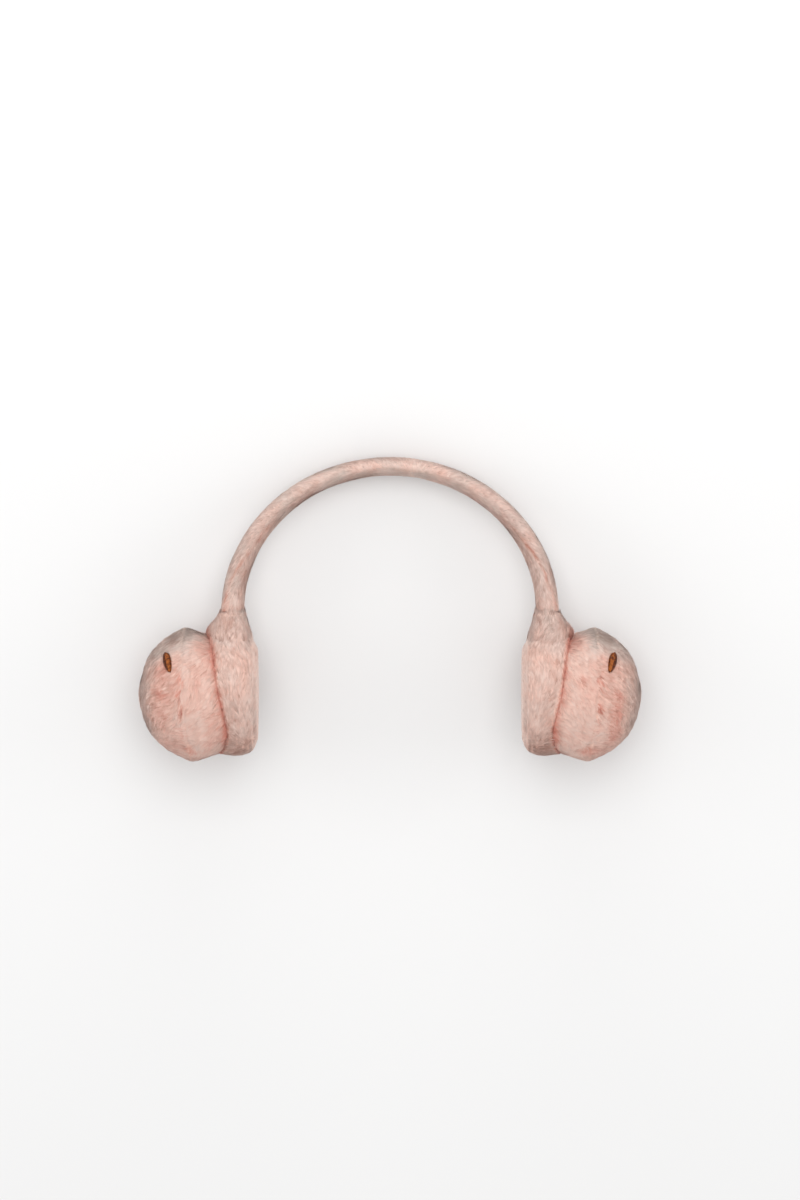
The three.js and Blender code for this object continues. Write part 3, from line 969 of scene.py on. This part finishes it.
# Lightness along the strand map; the darker root end is painted shade in the depths of the pile
FUR_LIGHTS = (
    (0.0, (178, 158, 152)),
    (0.3, (214, 202, 198)),
    (0.65, (244, 241, 240)),
    (1.0, (255, 255, 255)),
)
CLOTH_SHADES = (
    (0.3, (222, 208, 203)),
    (0.7, (248, 242, 239)),
)
THREAD_TONES = (
    (0.0, (52, 20, 6)),
    (0.3, (90, 40, 13)),
    (0.5, (148, 78, 28)),
    (1.0, (196, 118, 50)),
)
THREAD_MOTTLE = 1.2


def fur_material():
    """Colour, roughness and bump all come from a strand's two map coordinates: its tone, and root to tip."""
    material, nodes, links, shader = new_material("fur")
    place = nodes.new("ShaderNodeUVMap")
    place.uv_map = "OFBake"
    split = nodes.new("ShaderNodeSeparateXYZ")
    links.new(place.outputs["UV"], split.inputs[0])
    tones, lights = colour_ramp(nodes, FUR_TONES), colour_ramp(nodes, FUR_LIGHTS)
    links.new(split.outputs["X"], tones.inputs["Fac"])
    links.new(split.outputs["Y"], lights.inputs["Fac"])
    colour = multiplied(nodes, links, tones.outputs["Color"], lights.outputs["Color"])
    links.new(colour, shader.inputs["Base Color"])
    stretch = nodes.new("ShaderNodeMapping")
    stretch.inputs["Scale"].default_value = (90, 5, 1)
    links.new(place.outputs["UV"], stretch.inputs["Vector"])
    grain = noise_texture(nodes, links, stretch.outputs["Vector"], scale=1.0)
    links.new(ranged(nodes, links, grain, low=0.66, high=0.9), shader.inputs["Roughness"])
    links.new(bumped(nodes, links, grain, strength=0.12, distance=0.0001), shader.inputs["Normal"])
    shader.inputs["Specular IOR Level"].default_value = 0.2
    shader.inputs["Sheen Weight"].default_value = 0.12
    shader.inputs["Sheen Roughness"].default_value = 0.5
    return material


def cover_material():
    """The knitted cloth under the fur, in the fur's tones."""
    material, nodes, links, shader = new_material("fur cover")
    tone = nodes.new("ShaderNodeAttribute")
    tone.attribute_name = "tone"
    tones = colour_ramp(nodes, FUR_TONES)
    links.new(tone.outputs["Fac"], tones.inputs["Fac"])
    place = nodes.new("ShaderNodeTexCoord").outputs["Object"]
    mottle = noise_texture(nodes, links, place, scale=420.0)
    shades = colour_ramp(nodes, CLOTH_SHADES)
    links.new(mottle, shades.inputs["Fac"])
    colour = multiplied(nodes, links, tones.outputs["Color"], shades.outputs["Color"])
    links.new(colour, shader.inputs["Base Color"])
    knit = nodes.new("ShaderNodeTexVoronoi")
    knit.inputs["Scale"].default_value = 1300.0
    links.new(place, knit.inputs["Vector"])
    relief = bumped(nodes, links, knit.outputs["Distance"], strength=0.5, distance=0.0002)
    links.new(relief, shader.inputs["Normal"])
    links.new(ranged(nodes, links, mottle, low=0.8, high=0.95), shader.inputs["Roughness"])
    shader.inputs["Specular IOR Level"].default_value = 0.15
    return material


def thread_material():
    """Brown embroidery thread: mottled from stitch to stitch and along each, with a twisted ply."""
    material, nodes, links, shader = new_material("embroidery thread")
    dye = nodes.new("ShaderNodeAttribute")
    dye.attribute_name = "dye"
    place = nodes.new("ShaderNodeTexCoord").outputs["Object"]
    mottle = noise_texture(nodes, links, place, scale=900.0)
    total = nodes.new("ShaderNodeMath")
    total.operation = "MULTIPLY_ADD"
    links.new(mottle, total.inputs[0])
    total.inputs[1].default_value = THREAD_MOTTLE
    links.new(dye.outputs["Fac"], total.inputs[2])
    tones = colour_ramp(nodes, THREAD_TONES)
    links.new(total.outputs[0], tones.inputs["Fac"])
    links.new(tones.outputs["Color"], shader.inputs["Base Color"])
    ply = nodes.new("ShaderNodeTexWave")
    ply.inputs["Scale"].default_value = 900.0
    ply.inputs["Distortion"].default_value = 2.0
    ply.bands_direction = "DIAGONAL"
    links.new(place, ply.inputs["Vector"])
    relief = bumped(nodes, links, ply.outputs["Fac"], strength=0.4, distance=0.0001)
    links.new(relief, shader.inputs["Normal"])
    links.new(ranged(nodes, links, mottle, low=0.38, high=0.62), shader.inputs["Roughness"])
    shader.inputs["Specular IOR Level"].default_value = 0.25
    return material


# Pieces
PUFF_FILL, PAD_FILL = 0.9, 0.8  # how tightly they are stuffed


def build_headband(band, pads, fur, cloth):
    dress(cover("headband_sleeve", band, BAND_PILE, None), cloth, "band_fur", "headband")
    dress(strands("headband_fur", band, BAND_PILE, None, joined(pads)), fur, "band_fur")


def build_cup(side_name, side, band, pad, fur, cloth, thread):
    puff = Form(side_name + "_puff", (0, 0, 0), X_AXIS, CUP_LOCK_PERIOD)
    cup = Cup(side_name, side, puff)
    pieces = (
        ("puff", puff, PUFF_PILE, PUFF_FILL, pad),
        ("ear_pad", pad, PAD_PILE, PAD_FILL, joined((band, puff))),
    )
    for kind, form, pile, fill, neighbour in pieces:
        node = side_name + "_" + kind
        skin = dress(cover(node + "_cover", form, pile, cup), cloth, pile.slot, node)
        dress(strands(node + "_fur", form, pile, cup, neighbour), fur, pile.slot)
    stitched = satin_stitch(side_name, cup.almond)
    dress(stitched, thread, "embroidery", side_name + "_embroidered_almond")


def lens_height(almond, across, up):
    """Height of the almond's domed top over its base."""
    half = np.maximum(almond.half_width(up), TINY)
    bulge = half / max(almond.halves)
    return almond.thickness * bulge * np.sqrt(np.clip(1 - (across / half) ** 2, 0, 1))


def stitch_path(almond, start, side):
    """One stitch, from the almond's middle line out to its edge and down into the fur."""
    share = np.linspace(0, 1, STITCH_STATIONS)
    up = np.clip(start + STITCH_SLANT * share, -almond.length / 2, almond.length / 2)
    across = side * share * almond.half_width(up)
    groove = GROOVE_DEPTH * bell(share, GROOVE_SHARE)
    height = lens_height(almond, across, up) - groove - STITCH_SINK * share**6
    return np.stack([across, up, height], 1)


def tube(path, radius):
    """Points and triangles of a stitch's round tube along a path, open at its ends, which lie in other
    things."""
    along = unit(np.gradient(path, axis=0))
    sideways = unit(np.cross(along, (0.0, 0.0, 1.0)))
    upward = np.cross(sideways, along)
    angles = np.linspace(0, 2 * math.pi, STITCH_SIDES, endpoint=False)[None, :, None]
    ring = sideways[:, None] * np.cos(angles) + upward[:, None] * np.sin(angles)
    return grid_mesh(path[:, None] + ring * radius)


def grid_mesh(rings):
    """Points and triangles of a grid of closed rings."""
    count, sides = rings.shape[:2]
    i, j = np.meshgrid(np.arange(count - 1), np.arange(sides), indexing="ij")
    a, b = i * sides + j, i * sides + (j + 1) % sides
    c, d = a + sides, b + sides
    faces = np.concatenate([np.stack([a, b, d], 2).reshape(-1, 3), np.stack([a, d, c], 2).reshape(-1, 3)])
    return rings.reshape(-1, 3), faces


def almond_core(almond):
    """The lens under the stitches, whose skirt goes down into the fur."""
    rings = []
    turn = np.linspace(0, math.pi, CORE_CORNERS)
    for up in np.linspace(-almond.length / 2, almond.length / 2, CORE_STATIONS):
        across = -max(almond.half_width(up) - CORE_INSET, CORE_LEAST_HALF) * np.cos(turn)
        top = np.stack([across, np.full_like(across, up), lens_height(almond, across, up) - CORE_INSET], 1)
        bottom = top[::-1][1:-1] * (1, 1, 0) - (0, 0, STITCH_SINK)
        rings.append(np.concatenate([top, bottom]))
    return grid_mesh(np.array(rings))


def satin_stitch(side_name, almond):
    """The almond in slanted satin stitches, half from either side of its middle line, over a padded core."""
    rng = rng_for(side_name + " stitches")
    points, faces = almond_core(almond)
    parts, dyes = [(points, faces)], [np.full(len(points), CORE_DYE)]
    rows = np.linspace(FIRST_STITCH - almond.length / 2, almond.length / 2 - LAST_STITCH, STITCH_ROWS)
    for start in rows:
        for side in (-1, 1):
            path = stitch_path(almond, start + rng.normal(0, STITCH_JITTER), side)
            part = tube(path, STITCH_RADIUS * rng.uniform(*STITCH_RADII))
            parts.append(part)
            dye = DYE + OUTER_DYE * side * almond.side + DYE_SLOPE * start
            dyes.append(np.full(len(part[0]), rng.normal(dye, DYE_SPREAD)))
    offsets = np.cumsum([0] + [len(part[0]) for part in parts])
    points = np.concatenate([part[0] for part in parts])
    faces = np.concatenate([part[1] + offset for part, offset in zip(parts, offsets)])
    obj = mesh_object(side_name + "_almond_stitches", almond.to_upright(points), faces)
    set_value(obj, "dye", np.concatenate(dyes))
    return obj


# Stage, with sizes and places in metres
FLOOR_SIZE = 12
LIT_HEIGHT = 45.0  # how far the middle that the lights are aimed at is over the cups' axle, in millimetres


def build_floor():
    bpy.ops.mesh.primitive_plane_add(size=FLOOR_SIZE)
    floor = bpy.context.object
    floor.name = "floor"
    material, _, _, shader = new_material("floor")
    shader.inputs["Base Color"].default_value = (0.76, 0.76, 0.76, 1)
    shader.inputs["Roughness"].default_value = 0.9
    shader.inputs["Specular IOR Level"].default_value = 0.1
    floor.data.materials.append(material)


def soft_box(name, size, energy, offset):
    """A square light aimed at the earmuffs. The offset from their middle is in the upright frame."""
    middle = Vector(to_row(np.array((0.0, 0.0, LIT_HEIGHT))))
    light = bpy.data.lights.new(name, "AREA")
    light.shape = "SQUARE"
    light.size = size
    light.energy = energy
    lamp = bpy.data.objects.new(name, light)
    bpy.context.scene.collection.objects.link(lamp)
    lamp.location = middle + Vector((np.array(offset) @ AXES).tolist())
    lamp.rotation_euler = (middle - lamp.location).to_track_quat("-Z", "Y").to_euler()


def build_lights():
    """Even light from all round, one large soft box beside the camera, and fills from above the crown and
    from either side."""
    world = bpy.data.worlds.new("studio")
    bpy.context.scene.world = world
    world.use_nodes = True
    sky = world.node_tree.nodes["Background"]
    sky.inputs["Color"].default_value = (1, 0.997, 0.994, 1)
    sky.inputs["Strength"].default_value = 0.8
    soft_box("soft box", size=1.4, energy=18, offset=(0.0, -1.9, 0.35))
    soft_box("top fill", size=1.0, energy=10, offset=(0.0, -0.45, 1.7))
    for _, side in SIDES:
        soft_box("side fill", size=0.9, energy=5.5, offset=(side * 1.6, -0.5, 0.2))


def build_camera():
    """The photograph's view: straight at the front, level with the arch, with the object at the same
    pixels."""
    reach = 2 * (EAR_X + to_cup(to_upright(node_points("right_puff")), 1)[:, 0].max())
    pixel = reach / (OBJECT_RIGHT - OBJECT_LEFT)
    aim = np.array((
        (PHOTO_WIDTH / 2 - (OBJECT_LEFT + OBJECT_RIGHT) / 2) * pixel,
        0.0,
        BAND_REACH[:, 2].max() - (PHOTO_HEIGHT / 2 - OBJECT_TOP) * pixel,
    ))
    camera = bpy.data.cameras.new("camera")
    camera.sensor_fit = "HORIZONTAL"
    camera.sensor_width = SENSOR_WIDTH
    camera.lens = SENSOR_WIDTH * CAMERA_DISTANCE / (PHOTO_WIDTH * pixel)
    camera.clip_end = FARTHEST_SEEN
    eye = bpy.data.objects.new("camera", camera)
    bpy.context.scene.collection.objects.link(eye)
    place = to_row(aim - np.array((0.0, CAMERA_DISTANCE, 0.0)))
    turn = Matrix(np.stack([AXES[0], AXES[2], -AXES[1]], 1).tolist())
    eye.matrix_world = Matrix.Translation(place) @ turn.to_4x4()
    bpy.context.scene.camera = eye
    bpy.context.scene.view_settings.view_transform = "Standard"


def main():
    build_floor()
    build_lights()
    build_camera()
    fur, cloth, thread = fur_material(), cover_material(), thread_material()
    band = Form("headband", (0, 0, SPRING_Z), Y_AXIS, BAND_LOCK_PERIOD)
    pads = [Form(side_name + "_ear_pad", (0, 0, 0), X_AXIS, CUP_LOCK_PERIOD) for side_name, _ in SIDES]
    build_headband(band, pads, fur, cloth)
    for (side_name, side), pad in zip(SIDES, pads):
        build_cup(side_name, side, band, pad, fur, cloth, thread)


main()
